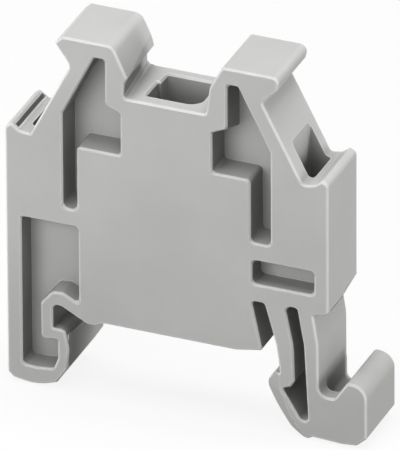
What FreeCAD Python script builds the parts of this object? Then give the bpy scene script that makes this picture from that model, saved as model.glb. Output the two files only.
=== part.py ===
import FreeCAD, Part
import math
import os

os.makedirs("parts", exist_ok=True)

# Din rail end stop: one injection moulding that snaps on a 35 mm rail.
# X runs across the rail, Y along it, Z away from it. Z = 0 is the seat on the rail.

# Rail and its two grips
jaw_width = 35.2          # clear width between the hook's wall and the latch
jaw_shift = -0.25         # middle of the jaw, from the middle of the block
hook_wall = jaw_shift - jaw_width / 2
latch_wall = jaw_shift + jaw_width / 2
hook_ledge = -2.4         # top of the fixed hook, below the seat
latch_ledge = -2.45       # top of the sprung latch
recess_top = 1.48         # room for the rail's edge above the seat, next to the hook
foot_bottom = -12.1

# Body block
cheek = 7.4               # the block stands out this far past the jaw on each side
half_width = jaw_width / 2 + cheek
thick = 11.2
front = -thick / 2
back = thick / 2
saddle_top = 37.7
tower_rise = 8.15
tower_top = saddle_top + tower_rise
rim_bevel = 0.25          # broken edge of both faces and of every pocket mouth

# Gap between the towers
gap_left = -6.5
gap_right = 6.2
nub_rise = 3.3
nub_reach = 0.55

# Shoulders and their slopes up to the towers
shoulder_drop = 8.6
shoulder_top = saddle_top - shoulder_drop
shoulder_width = 3.9
slope_foot = half_width - shoulder_width
neck_x = 14.8
head_height = 4.5
neck_z = tower_top - head_height

# Sprung leg and its pull tab
wall_foot = 8.65          # underside of the right wall
leg_root = 8.6            # top of the slot that frees the leg from the block
leg_outer = half_width - 1.55
notch_floor = -4.9
tab_top = -1.85
tab_reach = 7.45
tab_end = leg_outer + tab_reach

# Foot pocket and the short slot above the leg
foot_web = 4.0
foot_pocket_left = -half_width + 2.35
foot_pocket_right = hook_wall + 4.1
foot_pocket_roof = 15.1
short_slot_web = 4.4
short_slot_left = latch_wall - 4.15
short_slot_right = half_width - 2.2
short_slot_low = leg_root + 2.9
short_slot_height = 3.85
short_slot_high = short_slot_low + short_slot_height

# Tower pockets, one behind each tower, on both faces
tower_web = 2.0
pocket_outer = 16.1
pocket_inner = 7.1
pocket_step = 9.45
pocket_slant_top = 11.1
pocket_slant_foot = neck_z - 7.95
pocket_roof = tower_top - 2.55
pocket_step_top = saddle_top - 1.7
pocket_shelf = shoulder_top - 0.7
step_lean = 1.5           # the step in each pocket slopes toward the pocket's floor
left_slot_width = 2.2
left_slot_foot = foot_pocket_roof + 2.75
right_slot_width = 3.1
right_slot_foot = short_slot_high + 2.85

# Draw-out angle of the pocket walls
draft = 1.0

# Cores drawn out upward
saddle_core_left = gap_left + 2.55
saddle_core_right = gap_right - 2.0
saddle_core_front = front + 2.3
saddle_core_back = back - 1.85
saddle_core_depth = 14.0
saddle_core_jog = 0.48
mouth_bevel = 0.3         # broken edge round the mouth of the saddle pocket
shoulder_core_inner = slope_foot - 2.75
shoulder_core_outer = slope_foot + 0.85
shoulder_core_front = front + 2.55
shoulder_core_back = back - 2.05
shoulder_core_floor = short_slot_high + 2.65
groove_x = -half_width + 1.65
groove_width = 0.55
groove_depth = 0.5

# Prying slot behind the pull tab, open at the back
pry_slot_front = front + 2.2
pry_slot_width = 3.45
pry_slot_floor = notch_floor - 2.8

# Differences between the front and the back half
hook_flare = 0.9          # hook nose reaches further under the rail at the back
tower_relief = 0.95       # left tower's inner wall steps back toward the back
gusset_top = wall_foot + 1.35
gusset_foot = wall_foot - 2.75
gusset_front = 0.4

# Nose of the latch and its lead-in bevel
nose_x = latch_wall - 2.35
bevel_depth = 1.9


def rounded_wire(corners, y):
    # Closed outline in the plane Y = y; each corner is x, z, corner radius.
    n = len(corners)
    cuts = []
    for i in range(n):
        px, pz, _ = corners[i - 1]
        cx, cz, r = corners[i]
        qx, qz, _ = corners[(i + 1) % n]
        a = FreeCAD.Vector(px - cx, 0, pz - cz)
        b = FreeCAD.Vector(qx - cx, 0, qz - cz)
        a.normalize()
        b.normalize()
        c = FreeCAD.Vector(cx, y, cz)
        half = a.getAngle(b) / 2
        reach = r / math.tan(half)
        middle = a + b
        middle.normalize()
        top = c + middle * (r / math.sin(half) - r)
        cuts.append((c + a * reach, top, c + b * reach))
    edges = []
    for i in range(n):
        start, top, end = cuts[i]
        edges.append(Part.Arc(start, top, end).toShape())
        following = cuts[(i + 1) % n][0]
        if (following - end).Length > 1e-4:
            edges.append(Part.makeLine(end, following))
    return Part.Wire(edges)


def polygon_face(corners, y):
    points = [FreeCAD.Vector(x, y, z) for x, z in corners]
    return Part.Face(Part.makePolygon(points + [points[0]]))


def prism(corners, y0, y1):
    face = Part.Face(rounded_wire(corners, y0))
    return face.extrude(FreeCAD.Vector(0, y1 - y0, 0))


def inset(corners, gap):
    # The same outline with every side moved inward by the gap; corner radii stay.
    n = len(corners)
    pairs = [(corners[i - 1], corners[i]) for i in range(n)]
    turn = sum(a[0] * b[1] - b[0] * a[1] for a, b in pairs)
    side = math.copysign(1, turn)
    normals = []
    for (x0, z0, _), (x1, z1, _) in pairs:
        length = math.hypot(x1 - x0, z1 - z0) * side
        normals.append(((z0 - z1) / length, (x1 - x0) / length))
    moved = []
    for i in range(n):
        (ax, az), (bx, bz) = normals[i], normals[(i + 1) % n]
        reach = gap / (1 + ax * bx + az * bz)
        x, z, r = corners[i]
        moved.append((x + (ax + bx) * reach, z + (az + bz) * reach, r))
    return moved


def pocket(mouth, floor, web):
    # Pocket cut into the front face down to the web, with a bevelled rim and drafted walls.
    depth = (thick - web) / 2
    shrink = depth * math.tan(math.radians(draft))
    rim_wire = rounded_wire(inset(mouth, -rim_bevel), front)
    mouth_wire = rounded_wire(mouth, front + rim_bevel)
    floor_wire = rounded_wire(inset(floor, shrink), front + depth)
    core = Part.makeLoft([rim_wire, mouth_wire, floor_wire], True, True)
    lead = Part.Face(rim_wire).extrude(FreeCAD.Vector(0, -1, 0))
    return core.fuse(lead)


def both_faces(core):
    return [core, core.mirror(FreeCAD.Vector(0, 0, 0), FreeCAD.Vector(0, 1, 0))]


def body_outline():
    left_side = [
        (-half_width, foot_bottom + 1.1, 0.45),
        (-half_width, shoulder_top + 0.35, 0.5),
        (-half_width + 0.95, shoulder_top + 1.05, 0.4),
        (-half_width + 2.3, shoulder_top, 0.8),
        (-slope_foot, shoulder_top - 0.1, 0.3),
        (-neck_x, neck_z, 1.3),
        (-neck_x - 2.4, tower_top - 1.15, 0.45),
        (-neck_x - 1.2, tower_top, 0.6),
    ]
    saddle = [
        (gap_left - 1.7, tower_top, 1.6),
        (gap_left + nub_reach, saddle_top + nub_rise, 0.35),
        (gap_left + 0.1, saddle_top + nub_rise - 0.9, 0.4),
        (gap_left, saddle_top, 0.5),
        (gap_right, saddle_top, 0.5),
        (gap_right + 0.55, tower_top - 3.65, 3.0),
        (gap_right + 2.55, tower_top, 0.45),
    ]
    right_side = [
        (neck_x + 2.8, tower_top, 1.0),
        (neck_x + 2.35, tower_top - 2.1, 0.45),
        (neck_x, neck_z, 0.7),
        (slope_foot, shoulder_top + 0.1, 0.8),
        (half_width - 2.1, shoulder_top + 0.45, 0.8),
        (half_width - 1.0, shoulder_top + 1.35, 0.4),
        (half_width, shoulder_top + 0.95, 0.9),
        (half_width, wall_foot, 0.8),
        (half_width - 2.35, wall_foot - 0.45, 0.3),
    ]
    spring_leg = [
        (leg_outer - 0.05, 3.4, 8.0),
        (leg_outer, notch_floor, 1.5),
        (leg_outer + 2.5, notch_floor, 0.9),
        (tab_end - 2.95, tab_top, 0.8),
        (tab_end, tab_top - 0.35, 2.3),
        (tab_end, foot_bottom + 1.6, 0.4),
        (tab_end - 1.6, foot_bottom + 0.15, 0.8),
        (tab_end - 4.1, foot_bottom - 0.05, 8.0),
        (leg_outer - 0.95, foot_bottom + 0.2, 0.5),
        (leg_outer - 1.85, foot_bottom - 0.3, 0.7),
        (nose_x + 4.05, foot_bottom + 0.95, 3.0),
        (nose_x + 1.5, foot_bottom + 4.0, 4.0),
        (nose_x, latch_ledge - 3.45, 1.3),
        (nose_x, latch_ledge - 2.3, 0.7),
        (latch_wall - 0.65, latch_ledge - 0.15, 0.9),
        (latch_wall + 0.05, latch_ledge, 0.2),
        (latch_wall, latch_ledge + 1.45, 5.0),
        (latch_wall - 0.45, 2.2, 5.0),
        (latch_wall - 2.25, leg_root, 0.6),
        (latch_wall - 4.25, leg_root, 0.5),
        (latch_wall - 2.6, 0.75, 0.35),
    ]
    seat_and_hook = [
        (latch_wall - 6.75, 0.0, 6.0),
        (hook_wall + 8.05, 0.0, 1.0),
        (hook_wall + 6.65, -0.62, 1.2),
        (hook_wall + 5.4, -0.68, 1.4),
        (hook_wall + 1.3, recess_top, 1.0),
        (hook_wall, recess_top, 0.75),
        (hook_wall, hook_ledge, 0.2),
        (hook_wall + 1.9, hook_ledge, 0.8),
        (hook_wall + 2.5, foot_bottom + 6.5, 3.0),
        (hook_wall + 2.1, foot_bottom + 3.1, 0.8),
        (hook_wall + 0.55, foot_bottom + 0.8, 0.5),
        (-half_width + 4.4, foot_bottom - 0.3, 8.0),
        (-half_width + 0.85, foot_bottom + 0.3, 0.7),
    ]
    return left_side + saddle + right_side + spring_leg + seat_and_hook


def left_tower_pocket(lean=0.0):
    slot_side = -pocket_outer + left_slot_width
    return [
        (-pocket_outer, left_slot_foot, 1.0),
        (-pocket_outer, pocket_slant_foot, 0.5),
        (-pocket_slant_top, pocket_roof + 0.1, 0.5),
        (-pocket_step, pocket_roof + 0.1, 0.65),
        (-pocket_step, pocket_step_top + 0.1 - lean, 0.5),
        (-pocket_inner, pocket_step_top - 0.9 - lean, 0.8),
        (-pocket_inner, pocket_shelf - 0.1, 0.5),
        (slot_side, pocket_shelf - 0.1, 0.6),
        (slot_side, left_slot_foot, 1.0),
    ]


def right_tower_pocket(lean=0.0):
    slot_side = pocket_outer - right_slot_width
    return [
        (pocket_outer, right_slot_foot, 0.85),
        (slot_side, right_slot_foot, 0.85),
        (slot_side, pocket_shelf, 0.7),
        (pocket_inner, pocket_shelf, 0.6),
        (pocket_inner, pocket_step_top - 1.05 - lean, 0.5),
        (pocket_step, pocket_step_top - 0.05 - lean, 0.5),
        (pocket_step, pocket_roof - 0.1, 0.65),
        (pocket_slant_top, pocket_roof - 0.1, 0.5),
        (pocket_outer, pocket_slant_foot, 0.5),
    ]


def foot_pocket():
    return [
        (foot_pocket_left, foot_pocket_roof, 0.5),
        (foot_pocket_right, foot_pocket_roof, 0.9),
        (foot_pocket_right, recess_top + 0.97, 0.5),
        (hook_wall + 1.55, recess_top + 2.32, 1.0),
        (hook_wall - 0.05, recess_top + 2.17, 1.0),
        (hook_wall - 1.85, recess_top, 0.8),
        (hook_wall - 1.85, hook_ledge - 2.1, 0.5),
        (hook_wall + 0.7, hook_ledge - 1.7, 0.5),
        (hook_wall + 0.75, foot_bottom + 4.9, 2.0),
        (hook_wall + 0.05, foot_bottom + 3.0, 0.6),
        (foot_pocket_left + 2.25, foot_bottom + 2.7, 4.0),
        (foot_pocket_left, foot_bottom + 2.85, 0.7),
    ]


def short_slot():
    return [
        (short_slot_left, short_slot_low, 0.85),
        (short_slot_left, short_slot_high, 0.85),
        (short_slot_right, short_slot_high, 0.85),
        (short_slot_right, short_slot_low, 0.85),
    ]


def leg_slot():
    return [
        (latch_wall + 0.9, leg_root + 0.2, 0.85),
        (latch_wall + 2.8, leg_root + 0.2, 0.6),
        (latch_wall + 3.85, 2.8, 12.0),
        (latch_wall + 4.5, foot_bottom + 2.65, 0.55),
        (latch_wall + 3.35, foot_bottom + 2.6, 0.8),
        (latch_wall + 0.45, latch_ledge - 2.3, 0.4),
        (latch_wall + 1.75, latch_ledge - 1.95, 0.5),
        (latch_wall + 2.4, latch_ledge - 0.85, 0.6),
        (latch_wall + 2.2, 2.5, 12.0),
    ]


def latch_bevel():
    # Wedge taken off the front corner of the latch, broad at its nose, running out below.
    # Each station is z, its edge in the front face, the side of the latch, share of the depth.
    stations = (
        (latch_ledge + 0.1, latch_wall + 0.02, nose_x, 1.0),
        (latch_ledge - 2.95, latch_wall + 0.25, nose_x, 1.0),
        (foot_bottom + 4.6, latch_wall + 1.15, nose_x + 1.2, 0.78),
        (foot_bottom + 3.1, latch_wall + 1.75, nose_x + 2.25, 0.6),
        (foot_bottom + 1.2, latch_wall + 2.95, nose_x + 3.85, 0.38),
        (foot_bottom - 0.3, latch_wall + 4.65, nose_x + 6.2, 0.1),
    )
    over = 1.3
    sections = []
    for z, face_x, side_x, share in stations:
        outer_x = face_x + (side_x - face_x) * over
        face_point = FreeCAD.Vector(face_x, front - 0.01, z)
        side_point = FreeCAD.Vector(outer_x, front + bevel_depth * share * over, z)
        corner = FreeCAD.Vector(outer_x, front - 0.01, z)
        sections.append(Part.makePolygon([corner, face_point, side_point, corner]))
    return Part.makeLoft(sections, True, True)


def block(x0, x1, y0, y1, z0, z1):
    return Part.makeBox(x1 - x0, y1 - y0, z1 - z0, FreeCAD.Vector(x0, y0, z0))


def is_upright(edge):
    a, b = edge.Vertexes[0].Point, edge.Vertexes[-1].Point
    return abs(a.x - b.x) < 0.001 and abs(a.y - b.y) < 0.001


def round_corners(core, radii):
    # Rounds the upright edges of a core; radii is keyed by the edge's x, y.
    for (x, y), r in radii.items():
        found = []
        for edge in core.Edges:
            foot = edge.Vertexes[0].Point
            if is_upright(edge) and abs(foot.x - x) < 0.01 and abs(foot.y - y) < 0.01:
                found.append(edge)
        core = core.makeFillet(r, found)
    return core


def saddle_core():
    low = saddle_top - saddle_core_depth
    high = saddle_top + 2
    jog_x = saddle_core_left + saddle_core_jog
    main = block(saddle_core_left, saddle_core_right, saddle_core_front, saddle_core_back, low, high)
    rib = block(saddle_core_left - 1, jog_x, back - 4.5, saddle_core_back + 1, low - 1, high + 1)
    corners = {
        (saddle_core_right, saddle_core_front): 1.9,
        (saddle_core_right, saddle_core_back): 0.6,
        (saddle_core_left, saddle_core_front): 0.35,
        (jog_x, saddle_core_back): 0.35,
    }
    return round_corners(main.cut(rib), corners)


def shoulder_core(side):
    x0, x1 = sorted((side * shoulder_core_inner, side * shoulder_core_outer))
    core = block(x0, x1, shoulder_core_front, shoulder_core_back, shoulder_core_floor, neck_z)
    corners = {}
    for x in (x0, x1):
        for y in (shoulder_core_front, shoulder_core_back):
            corners[(x, y)] = 0.6
    return round_corners(core, corners)


def mouth_edges(solid):
    # Edges that run round the mouth of the saddle pocket, in the flat of the saddle.
    picked = []
    for edge in solid.Edges:
        box = edge.BoundBox
        level = abs(box.ZMin - saddle_top) < 0.001 and abs(box.ZMax - saddle_top) < 0.001
        across = saddle_core_left - 0.01 < box.XMin and box.XMax < saddle_core_right + 0.01
        along = saddle_core_front - 0.01 < box.YMin and box.YMax < saddle_core_back + 0.01
        if level and across and along:
            picked.append(edge)
    return picked


def shoulder_groove():
    floor = shoulder_top - groove_depth + 0.2
    return block(groove_x - groove_width / 2, groove_x + groove_width / 2,
                 front + 0.6, back - 0.5, floor, shoulder_top + 2)


def prying_slot():
    # Deepens the notch behind its front web so that a blade can be set in it.
    core = block(leg_outer, leg_outer + pry_slot_width, pry_slot_front, back + 1,
                 pry_slot_floor, notch_floor + 1.9)
    edges = []
    for edge in core.Edges:
        box = edge.BoundBox
        along = box.YLength > 1 and abs(box.ZMin - pry_slot_floor) < 0.01
        upright = box.ZLength > 1 and abs(box.YMin - pry_slot_front) < 0.01
        if along or upright:
            edges.append(edge)
    return core.makeFillet(1.1, edges)


def hook_flare_wedge():
    # Widens the nose of the fixed hook evenly from the front face to the back face.
    nose = hook_wall + 2.45 + hook_flare
    side = [
        (hook_wall + 1.25, foot_bottom + 2.7),
        (hook_wall + 1.9, foot_bottom + 2.8),
        (nose, foot_bottom + 5.1),
        (nose, hook_ledge - 1.5),
        (nose - 0.6, hook_ledge - 0.9),
        (hook_wall + 1.25, hook_ledge - 0.9),
    ]
    bar = polygon_face(side, front).extrude(FreeCAD.Vector(0, thick - rim_bevel, 0))
    low = foot_bottom + 2.1
    plan = [
        FreeCAD.Vector(hook_wall + 1.15, front + 0.5, low),
        FreeCAD.Vector(hook_wall + 2.3, front + 0.5, low),
        FreeCAD.Vector(nose, back - rim_bevel, low),
        FreeCAD.Vector(hook_wall + 1.15, back - rim_bevel, low),
    ]
    wedge = Part.Face(Part.makePolygon(plan + [plan[0]])).extrude(FreeCAD.Vector(0, 0, hook_ledge - low))
    return bar.common(wedge)


def tower_relief_wedge():
    # Takes the left tower's inner wall and its nub back, from nothing at the front face.
    wall = gap_left - tower_relief
    clear = gap_left + 1.5
    tip = saddle_top + nub_rise
    at_front = [
        (gap_left + 0.5, saddle_top),
        (gap_left, saddle_top + 0.5),
        (gap_left + 0.08, tip - 0.9),
        (gap_left + nub_reach - 0.01, tip),
        (gap_left + nub_reach - 0.01, tip + 0.1),
        (clear, tip + 0.1),
        (clear, saddle_top),
    ]
    at_back = [
        (wall + 0.5, saddle_top),
        (wall, saddle_top + 0.5),
        (wall, tip - 1.4),
        (gap_left + 0.14, tip - 0.15),
        (gap_left - 0.3, tip + 1.8),
        (clear, tip + 1.8),
        (clear, saddle_top),
    ]
    wires = []
    for y, side in ((front - 0.01, at_front), (back + 0.01, at_back)):
        wires.append(polygon_face(side, y).OuterWire)
    return Part.makeLoft(wires, True, True)


def leg_gusset():
    # Web in the back half between the right wall's underside and the leg.
    corners = [
        (leg_outer - 1.95, gusset_foot - 0.6),
        (leg_outer - 1.95, gusset_top),
        (half_width, gusset_top),
        (leg_outer - 0.55, gusset_foot),
    ]
    return polygon_face(corners, gusset_front).extrude(FreeCAD.Vector(0, back - gusset_front, 0))


def gusset_cut():
    corners = [
        (half_width + 0.01, gusset_top),
        (leg_outer - 0.55, gusset_foot),
        (half_width + 1.0, gusset_foot),
    ]
    return polygon_face(corners, gusset_front).extrude(FreeCAD.Vector(0, thick, 0))


def rim_edges(solid):
    # Edges that lie wholly in the front or the back face.
    picked = []
    for edge in solid.Edges:
        box = edge.BoundBox
        if box.YLength < 1e-4 and abs(abs(box.YMin) - thick / 2) < 1e-4:
            picked.append(edge)
    return picked


def build_end_stop():
    solid = prism(body_outline(), front, back)
    solid = solid.cut(prism(leg_slot(), front - 1, back + 1))
    solid = solid.makeChamfer(rim_bevel, rim_edges(solid))
    for mouth, floor, web in (
        (left_tower_pocket(), left_tower_pocket(step_lean), tower_web),
        (right_tower_pocket(), right_tower_pocket(step_lean), tower_web),
        (foot_pocket(), foot_pocket(), foot_web),
        (short_slot(), short_slot(), short_slot_web),
    ):
        for core in both_faces(pocket(mouth, floor, web)):
            solid = solid.cut(core)
    solid = solid.fuse(leg_gusset()).cut(gusset_cut()).cut(prying_slot())
    solid = solid.fuse(hook_flare_wedge()).cut(tower_relief_wedge())
    for wedge in both_faces(latch_bevel()):
        solid = solid.cut(wedge)
    solid = solid.cut(saddle_core())
    solid = solid.makeChamfer(mouth_bevel, mouth_edges(solid))
    for core in (shoulder_core(1), shoulder_core(-1), shoulder_groove()):
        solid = solid.cut(core)
    return solid


end_stop = build_end_stop()
if end_stop.ShapeType == "Compound" and len(end_stop.Solids) == 1:
    end_stop = end_stop.Solids[0]
print(end_stop.ShapeType, end_stop.isValid(), len(end_stop.Solids), round(end_stop.Volume, 1))
end_stop.exportStep("parts/end_stop_body.step")
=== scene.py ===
import math

import bpy
from mathutils import Matrix, Vector


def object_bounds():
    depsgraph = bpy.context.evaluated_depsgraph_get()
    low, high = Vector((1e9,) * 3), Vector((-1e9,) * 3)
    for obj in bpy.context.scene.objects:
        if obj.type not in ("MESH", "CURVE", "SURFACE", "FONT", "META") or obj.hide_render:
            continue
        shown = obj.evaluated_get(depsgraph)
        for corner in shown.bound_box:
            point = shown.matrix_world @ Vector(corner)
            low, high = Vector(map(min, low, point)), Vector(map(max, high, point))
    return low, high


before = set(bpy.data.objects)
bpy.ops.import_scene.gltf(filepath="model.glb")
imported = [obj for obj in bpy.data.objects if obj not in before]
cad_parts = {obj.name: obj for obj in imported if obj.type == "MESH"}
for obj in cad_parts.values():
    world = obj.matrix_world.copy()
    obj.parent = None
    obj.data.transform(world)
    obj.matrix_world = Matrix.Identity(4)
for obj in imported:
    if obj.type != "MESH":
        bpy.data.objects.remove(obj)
cad_low, cad_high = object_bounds()
scene = bpy.context.scene


# End stop body. One injection moulding in light grey plastic: block, towers, fixed hook
# and sprung latch in one piece. The skin has the fine spark-eroded grain of the tool and
# faint flow clouds; a pale painted highlight runs along the edges, painted shade darkens
# the deep recesses, and painted shade darkens the colour toward the feet.
GREY_LIGHT = (0.524, 0.524, 0.514, 1.0)
GREY_DARK = (0.472, 0.472, 0.464, 1.0)
# The pale colour of the painted highlight along the edges and bevels.
PAINTED_EDGE_HIGHLIGHT = (0.69, 0.69, 0.68, 1.0)
PLASTIC_IOR = 1.5
PLASTIC_SPECULAR = 0.3
SATIN_LOW, SATIN_HIGH = 0.50, 0.60     # roughness, in the dark and the light clouds

FLOW_SCALE = 70.0                      # clouds about 14 mm across
FLOW_DETAIL = 3.0
FLOW_ROUGHNESS = 0.55
CLOUD_LOW, CLOUD_HIGH = 0.3, 0.7       # where the clouds are fully dark and fully light
GRAIN_SCALE = 5200.0                   # grain about 0.2 mm across
GRAIN_DETAIL = 2.0
GRAIN_HEIGHT = 0.000012
GRAIN_STRENGTH = 0.5
WAVE_SCALE = 160.0                     # sink and flow waves about 6 mm across
WAVE_DETAIL = 1.0
WAVE_HEIGHT = 0.00003
WAVE_STRENGTH = 0.35

RECESS_SHADE = 0.56                          # painted shade: how much of the colour is left deep in a slot
RECESS_REACH = 0.0120                  # how far a wall still casts painted shade into a recess
RECESS_SHUT, RECESS_OPEN = 0.15, 0.88  # open air at which the painted shade is deepest, and gone
RECESS_SAMPLES = 8
BOTTOM_SHADE = 0.89                            # painted shade: how much of the colour is left at the feet
BOTTOM_SHADE_LOW, BOTTOM_SHADE_HIGH = -0.012, 0.022    # the heights where this painted shade is full, and gone

EDGE_REACH = 0.00040                   # width of the painted highlight on either side of an edge
EDGE_SAMPLES = 6
EDGE_NONE, EDGE_FULL = 0.995, 0.90     # cosine of the turn from no painted highlight to a full one
BEVEL_LEAN = math.sqrt(0.5)            # how far a 45 degree bevel leans to the faces
BEVEL_MARGIN = 0.03
LEVEL_HIGHLIGHT = 0.15                       # the painted highlight left on bevels that face up
LEVEL_FROM, LEVEL_TO = 0.2, 0.6        # how far a bevel faces up, from a full painted highlight to that
HIGHLIGHT_SHUT, HIGHLIGHT_OPEN = 0.30, 0.55        # open air at which an edge gets no painted highlight, and a full one


def blank_nodes(holder):
    """The empty node tree of a material or world."""
    holder.use_nodes = True
    holder.node_tree.nodes.clear()
    return holder.node_tree


def fade(tree, start, end, at_start=0.0, at_end=1.0):
    """A value that runs from at_start to at_end while its input runs from start to end,
    and stays at those two beyond them."""
    node = tree.nodes.new("ShaderNodeMapRange")
    node.inputs["From Min"].default_value = start
    node.inputs["From Max"].default_value = end
    node.inputs["To Min"].default_value = at_start
    node.inputs["To Max"].default_value = at_end
    return node


def reckon(tree, operation):
    """One step of arithmetic on two numbers."""
    node = tree.nodes.new("ShaderNodeMath")
    node.operation = operation
    return node


def cloud(tree, scale, detail):
    """Soft noise through the plastic, fixed to the moulding."""
    node = tree.nodes.new("ShaderNodeTexNoise")
    node.inputs["Scale"].default_value = scale
    node.inputs["Detail"].default_value = detail
    return node


def relief(tree, strength, height):
    """A bump of the skin, of a height in metres."""
    node = tree.nodes.new("ShaderNodeBump")
    node.inputs["Strength"].default_value = strength
    node.inputs["Distance"].default_value = height
    return node


plastic = bpy.data.materials.new("light_grey_moulded_plastic")
tree = blank_nodes(plastic)
output = tree.nodes.new("ShaderNodeOutputMaterial")
shader = tree.nodes.new("ShaderNodeBsdfPrincipled")
shader.inputs["IOR"].default_value = PLASTIC_IOR
shader.inputs["Specular IOR Level"].default_value = PLASTIC_SPECULAR
place = tree.nodes.new("ShaderNodeTexCoord")

flow = cloud(tree, FLOW_SCALE, FLOW_DETAIL)
flow.inputs["Roughness"].default_value = FLOW_ROUGHNESS
grain = cloud(tree, GRAIN_SCALE, GRAIN_DETAIL)
wave = cloud(tree, WAVE_SCALE, WAVE_DETAIL)
for noise in (flow, grain, wave):
    tree.links.new(place.outputs["Object"], noise.inputs["Vector"])

# Ground colour: flow clouds, darkened by painted shade in the recesses and toward the feet.
tint = tree.nodes.new("ShaderNodeValToRGB")
tint.color_ramp.elements[0].position = CLOUD_LOW
tint.color_ramp.elements[0].color = GREY_DARK
tint.color_ramp.elements[1].position = CLOUD_HIGH
tint.color_ramp.elements[1].color = GREY_LIGHT
open_air = tree.nodes.new("ShaderNodeAmbientOcclusion")
open_air.samples = RECESS_SAMPLES
open_air.only_local = True
open_air.inputs["Distance"].default_value = RECESS_REACH
# Painted shade: the colour darkens where the open air around a point is small.
depth_shade = fade(tree, RECESS_SHUT, RECESS_OPEN, RECESS_SHADE, 1.0)
height = tree.nodes.new("ShaderNodeSeparateXYZ")
# Painted shade: the colour darkens toward the feet.
bottom_shade = fade(tree, BOTTOM_SHADE_LOW, BOTTOM_SHADE_HIGH, BOTTOM_SHADE, 1.0)
bottom_shade.interpolation_type = "SMOOTHSTEP"
painted_shade = reckon(tree, "MULTIPLY")
shaded_ground = tree.nodes.new("ShaderNodeVectorMath")
shaded_ground.operation = "SCALE"
tree.links.new(flow.outputs["Fac"], tint.inputs["Fac"])
tree.links.new(open_air.outputs["AO"], depth_shade.inputs["Value"])
tree.links.new(place.outputs["Object"], height.inputs["Vector"])
tree.links.new(height.outputs["Z"], bottom_shade.inputs["Value"])
tree.links.new(depth_shade.outputs["Result"], painted_shade.inputs[0])
tree.links.new(bottom_shade.outputs["Result"], painted_shade.inputs[1])
tree.links.new(tint.outputs["Color"], shaded_ground.inputs[0])
tree.links.new(painted_shade.outputs["Value"], shaded_ground.inputs["Scale"])

# Painted highlight beside an edge: it grows where the rounded normal turns away from the
# flat one.
rounded = tree.nodes.new("ShaderNodeBevel")
rounded.samples = EDGE_SAMPLES
rounded.inputs["Radius"].default_value = EDGE_REACH
flat = tree.nodes.new("ShaderNodeNewGeometry")
turned = tree.nodes.new("ShaderNodeVectorMath")
turned.operation = "DOT_PRODUCT"
edge = fade(tree, EDGE_NONE, EDGE_FULL)
tree.links.new(rounded.outputs["Normal"], turned.inputs[0])
tree.links.new(flat.outputs["True Normal"], turned.inputs[1])
tree.links.new(turned.outputs["Value"], edge.inputs["Value"])

# Painted highlight on the bevels themselves, which lean 45 degrees to both faces of the
# moulding. Those that face up catch the light already and get little of it.
own_normal = tree.nodes.new("ShaderNodeVectorTransform")
own_normal.vector_type = "NORMAL"
own_normal.convert_from = "WORLD"
own_normal.convert_to = "OBJECT"
facing = tree.nodes.new("ShaderNodeSeparateXYZ")
slant = reckon(tree, "ABSOLUTE")
bevelled = reckon(tree, "COMPARE")
bevelled.inputs[1].default_value = BEVEL_LEAN
bevelled.inputs[2].default_value = BEVEL_MARGIN
sideways = fade(tree, LEVEL_FROM, LEVEL_TO, 1.0, LEVEL_HIGHLIGHT)
bevel_highlight = reckon(tree, "MULTIPLY")
tree.links.new(flat.outputs["True Normal"], own_normal.inputs["Vector"])
tree.links.new(own_normal.outputs["Vector"], facing.inputs["Vector"])
tree.links.new(facing.outputs["Y"], slant.inputs[0])
tree.links.new(slant.outputs["Value"], bevelled.inputs[0])
tree.links.new(facing.outputs["Z"], sideways.inputs["Value"])
tree.links.new(bevelled.outputs["Value"], bevel_highlight.inputs[0])
tree.links.new(sideways.outputs["Result"], bevel_highlight.inputs[1])

# Both painted highlights lie over the ground colour, and stop where an edge lies deep in a
# recess.
painted_highlight = reckon(tree, "MAXIMUM")
outer = fade(tree, HIGHLIGHT_SHUT, HIGHLIGHT_OPEN)
highlight_amount = reckon(tree, "MULTIPLY")
colour = tree.nodes.new("ShaderNodeMix")
colour.data_type = "RGBA"
colour.inputs["B"].default_value = PAINTED_EDGE_HIGHLIGHT
tree.links.new(edge.outputs["Result"], painted_highlight.inputs[0])
tree.links.new(bevel_highlight.outputs["Value"], painted_highlight.inputs[1])
tree.links.new(open_air.outputs["AO"], outer.inputs["Value"])
tree.links.new(painted_highlight.outputs["Value"], highlight_amount.inputs[0])
tree.links.new(outer.outputs["Result"], highlight_amount.inputs[1])
tree.links.new(highlight_amount.outputs["Value"], colour.inputs["Factor"])
tree.links.new(shaded_ground.outputs["Vector"], colour.inputs["A"])
tree.links.new(colour.outputs["Result"], shader.inputs["Base Color"])

# Sheen and relief of the skin.
gloss = fade(tree, CLOUD_LOW, CLOUD_HIGH, SATIN_LOW, SATIN_HIGH)
wave_bump = relief(tree, WAVE_STRENGTH, WAVE_HEIGHT)
grain_bump = relief(tree, GRAIN_STRENGTH, GRAIN_HEIGHT)
tree.links.new(flow.outputs["Fac"], gloss.inputs["Value"])
tree.links.new(gloss.outputs["Result"], shader.inputs["Roughness"])
tree.links.new(wave.outputs["Fac"], wave_bump.inputs["Height"])
tree.links.new(grain.outputs["Fac"], grain_bump.inputs["Height"])
tree.links.new(wave_bump.outputs["Normal"], grain_bump.inputs["Normal"])
tree.links.new(grain_bump.outputs["Normal"], shader.inputs["Normal"])
tree.links.new(shader.outputs["BSDF"], output.inputs["Surface"])

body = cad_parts["end_stop_body"]
body.data.materials.clear()
body.data.materials.append(plastic)


# Floor. A pale sheet that the end stop stands on with its two feet. The camera sees it
# white with the soft shadow on it, and to the rest of the scene it is a dark grey, so that
# it throws little light back up.
FLOOR_SIZE = 3.0
FLOOR_DROP = 0.0001
FLOOR_GREY = 0.10
FLOOR_GLOW = 0.87
WHITE = (1.0, 1.0, 1.0, 1.0)

floor_mesh = bpy.data.meshes.new("floor")
half = FLOOR_SIZE / 2
level = cad_low.z - FLOOR_DROP
floor_mesh.from_pydata(
    [(-half, -half, level), (half, -half, level), (half, half, level), (-half, half, level)],
    [], [(0, 1, 2, 3)])
floor = bpy.data.objects.new("floor", floor_mesh)
scene.collection.objects.link(floor)

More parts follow.
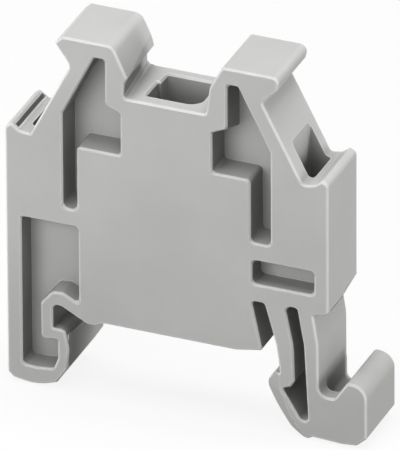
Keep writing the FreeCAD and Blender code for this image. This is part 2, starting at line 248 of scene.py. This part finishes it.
paper = bpy.data.materials.new("pale_floor")
tree = blank_nodes(paper)
output = tree.nodes.new("ShaderNodeOutputMaterial")
rays = tree.nodes.new("ShaderNodeLightPath")
seen = reckon(tree, "MAXIMUM")
matt = tree.nodes.new("ShaderNodeBsdfDiffuse")
matt.inputs["Color"].default_value = (FLOOR_GREY, FLOOR_GREY, FLOOR_GREY, 1.0)
glow = tree.nodes.new("ShaderNodeEmission")
glow.inputs["Color"].default_value = WHITE
glow.inputs["Strength"].default_value = FLOOR_GLOW
lit = tree.nodes.new("ShaderNodeAddShader")
choice = tree.nodes.new("ShaderNodeMixShader")
tree.links.new(rays.outputs["Is Camera Ray"], seen.inputs[0])
tree.links.new(rays.outputs["Is Glossy Ray"], seen.inputs[1])
tree.links.new(matt.outputs["BSDF"], lit.inputs[0])
tree.links.new(glow.outputs["Emission"], lit.inputs[1])
tree.links.new(seen.outputs["Value"], choice.inputs["Fac"])
tree.links.new(matt.outputs["BSDF"], choice.inputs[1])
tree.links.new(lit.outputs["Shader"], choice.inputs[2])
tree.links.new(choice.outputs["Shader"], output.inputs["Surface"])
floor_mesh.materials.append(paper)


# Studio light. Five plain soft boxes round the end stop: one overhead, one close in front a
# little to the left, a narrow one at the right, and low ones at the back and the left, so
# that each side is lit. The camera sees plain white behind.
AIM_HEIGHT = 0.012
ROOM_FILL = 0.02
ROOM_WHITE = 1.0


def soft_box(name, toward, distance, width, height, watts):
    """A flat lamp at a distance from the end stop, in the direction given, facing it."""
    target = Vector((0.0, 0.0, AIM_HEIGHT))
    box = bpy.data.lights.new(name, "AREA")
    box.shape = "RECTANGLE"
    box.size = width
    box.size_y = height
    box.energy = watts
    lamp = bpy.data.objects.new(name, box)
    lamp.location = target + Vector(toward).normalized() * distance
    lamp.rotation_mode = "QUATERNION"
    lamp.rotation_quaternion = (target - lamp.location).to_track_quat("-Z", "Y")
    scene.collection.objects.link(lamp)


soft_box("overhead", toward=(0.0, 0.0, 1.0), distance=0.5,
         width=0.45, height=0.45, watts=2.8)
soft_box("front_left", toward=(-0.24, -1.0, 0.3), distance=0.38,
         width=0.36, height=0.36, watts=1.57)
soft_box("right", toward=(1.0, 0.2, 0.12), distance=0.4,
         width=0.06, height=0.25, watts=1.2)
soft_box("back", toward=(-0.2, 1.0, 0.0), distance=0.8,
         width=0.2, height=0.045, watts=3.2)
soft_box("left", toward=(-1.0, 0.25, 0.0), distance=0.8,
         width=0.4, height=0.045, watts=2.8)

world = bpy.data.worlds.new("white_room")
scene.world = world
tree = blank_nodes(world)
output = tree.nodes.new("ShaderNodeOutputWorld")
rays = tree.nodes.new("ShaderNodeLightPath")
fill = tree.nodes.new("ShaderNodeBackground")
fill.inputs["Color"].default_value = WHITE
fill.inputs["Strength"].default_value = ROOM_FILL
white = tree.nodes.new("ShaderNodeBackground")
white.inputs["Color"].default_value = WHITE
white.inputs["Strength"].default_value = ROOM_WHITE
choice = tree.nodes.new("ShaderNodeMixShader")
tree.links.new(rays.outputs["Is Camera Ray"], choice.inputs["Fac"])
tree.links.new(fill.outputs["Background"], choice.inputs[1])
tree.links.new(white.outputs["Background"], choice.inputs[2])
tree.links.new(choice.outputs["Shader"], output.inputs["Surface"])


# Camera. A long lens at the photograph's angle, so far off that parallel edges stay
# nearly parallel. The point AIM of the end stop is put on the picture's point AIM_PIXEL.
AZIMUTH = math.radians(22.4)
ELEVATION = math.radians(29.22)
ROLL = math.radians(0.285)
LENS = 1400.0
SENSOR = 36.0
CLIP_NEAR, CLIP_FAR = 0.1, 10.0
FRAME_WIDTH, FRAME_HEIGHT = 400, 450
PIXELS_PER_METRE = 6959.0
AIM = Vector((0.0, -0.0001, 0.01708))
AIM_PIXEL = (180.9, 215.76)

distance = LENS * FRAME_HEIGHT / (SENSOR * PIXELS_PER_METRE)
outward = Vector((math.sin(AZIMUTH) * math.cos(ELEVATION),
                  -math.cos(AZIMUTH) * math.cos(ELEVATION),
                  math.sin(ELEVATION)))
turn = (-outward).to_track_quat("-Z", "Y").to_matrix() @ Matrix.Rotation(-ROLL, 3, "Z")
right, up = turn.col[0], turn.col[1]
across = (FRAME_WIDTH / 2 - AIM_PIXEL[0]) / PIXELS_PER_METRE
down = (FRAME_HEIGHT / 2 - AIM_PIXEL[1]) / PIXELS_PER_METRE

camera_data = bpy.data.cameras.new("camera")
camera_data.sensor_width = SENSOR
camera_data.lens = LENS
camera_data.clip_start = CLIP_NEAR
camera_data.clip_end = CLIP_FAR
camera = bpy.data.objects.new("camera", camera_data)
camera.rotation_mode = "QUATERNION"
camera.rotation_quaternion = turn.to_quaternion()
camera.location = AIM + across * right - down * up + distance * outward
scene.collection.objects.link(camera)
scene.camera = camera

scene.view_settings.view_transform = "Standard"
